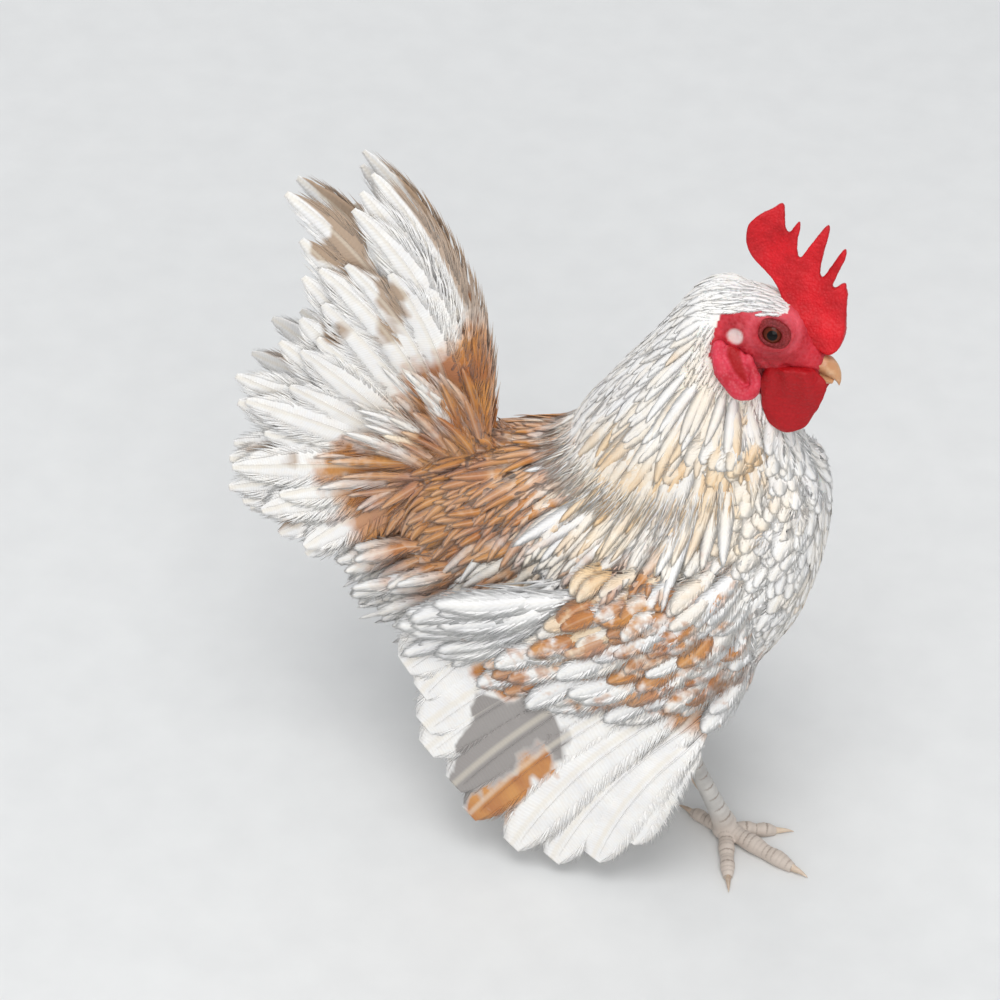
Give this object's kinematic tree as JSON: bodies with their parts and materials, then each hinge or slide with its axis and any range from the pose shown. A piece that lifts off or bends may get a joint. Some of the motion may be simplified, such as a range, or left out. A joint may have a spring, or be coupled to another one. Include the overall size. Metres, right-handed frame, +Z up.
{
  "type": "serama rooster",
  "caption": "Standing serama rooster with upright breast, red comb and wattles, lowered wings and fanned tail, white with gold and buff markings.",
  "frame": {"origin": "middle of the footprint box, on the floor between the feet", "axes": "+X the way the bird faces, +Y its left side, +Z up"},
  "size_m": [0.1946, 0.0968, 0.2347],
  "materials": {
    "body_feather": "matte white feathers over flesh",
    "saddle_feather": "matte buff feathers",
    "long_feather": "matte white feathers",
    "red_skin": "bare red skin, satin",
    "eye": "wet gloss",
    "beak_horn": "satin horn",
    "leg_scale": "satin scales",
    "claw_horn": "satin horn"
  },
  "bodies": {
    "root": {"torso": "body_feather", "saddle": "saddle_feather", "neck": "body_feather", "tail_right": "long_feather", "tail_left": "long_feather", "wing_right": "long_feather", "wing_left": "long_feather", "thigh_right": "body_feather", "thigh_left": "body_feather", "head": "red_skin", "comb": "red_skin", "wattle_right": "red_skin", "wattle_left": "red_skin", "earlobe_right": "red_skin", "earlobe_left": "red_skin", "eye_right": "eye", "eye_left": "eye", "beak_upper": "beak_horn", "beak_lower": "beak_horn", "shank_right": "leg_scale", "shank_left": "leg_scale", "foot_right": "leg_scale", "foot_left": "leg_scale", "spur_right": "claw_horn", "spur_left": "claw_horn", "claw_right_middle": "claw_horn", "claw_right_inner": "claw_horn", "claw_right_outer": "claw_horn", "claw_right_hind": "claw_horn", "claw_left_middle": "claw_horn", "claw_left_inner": "claw_horn", "claw_left_outer": "claw_horn", "claw_left_hind": "claw_horn"}
  },
  "joints": []
}
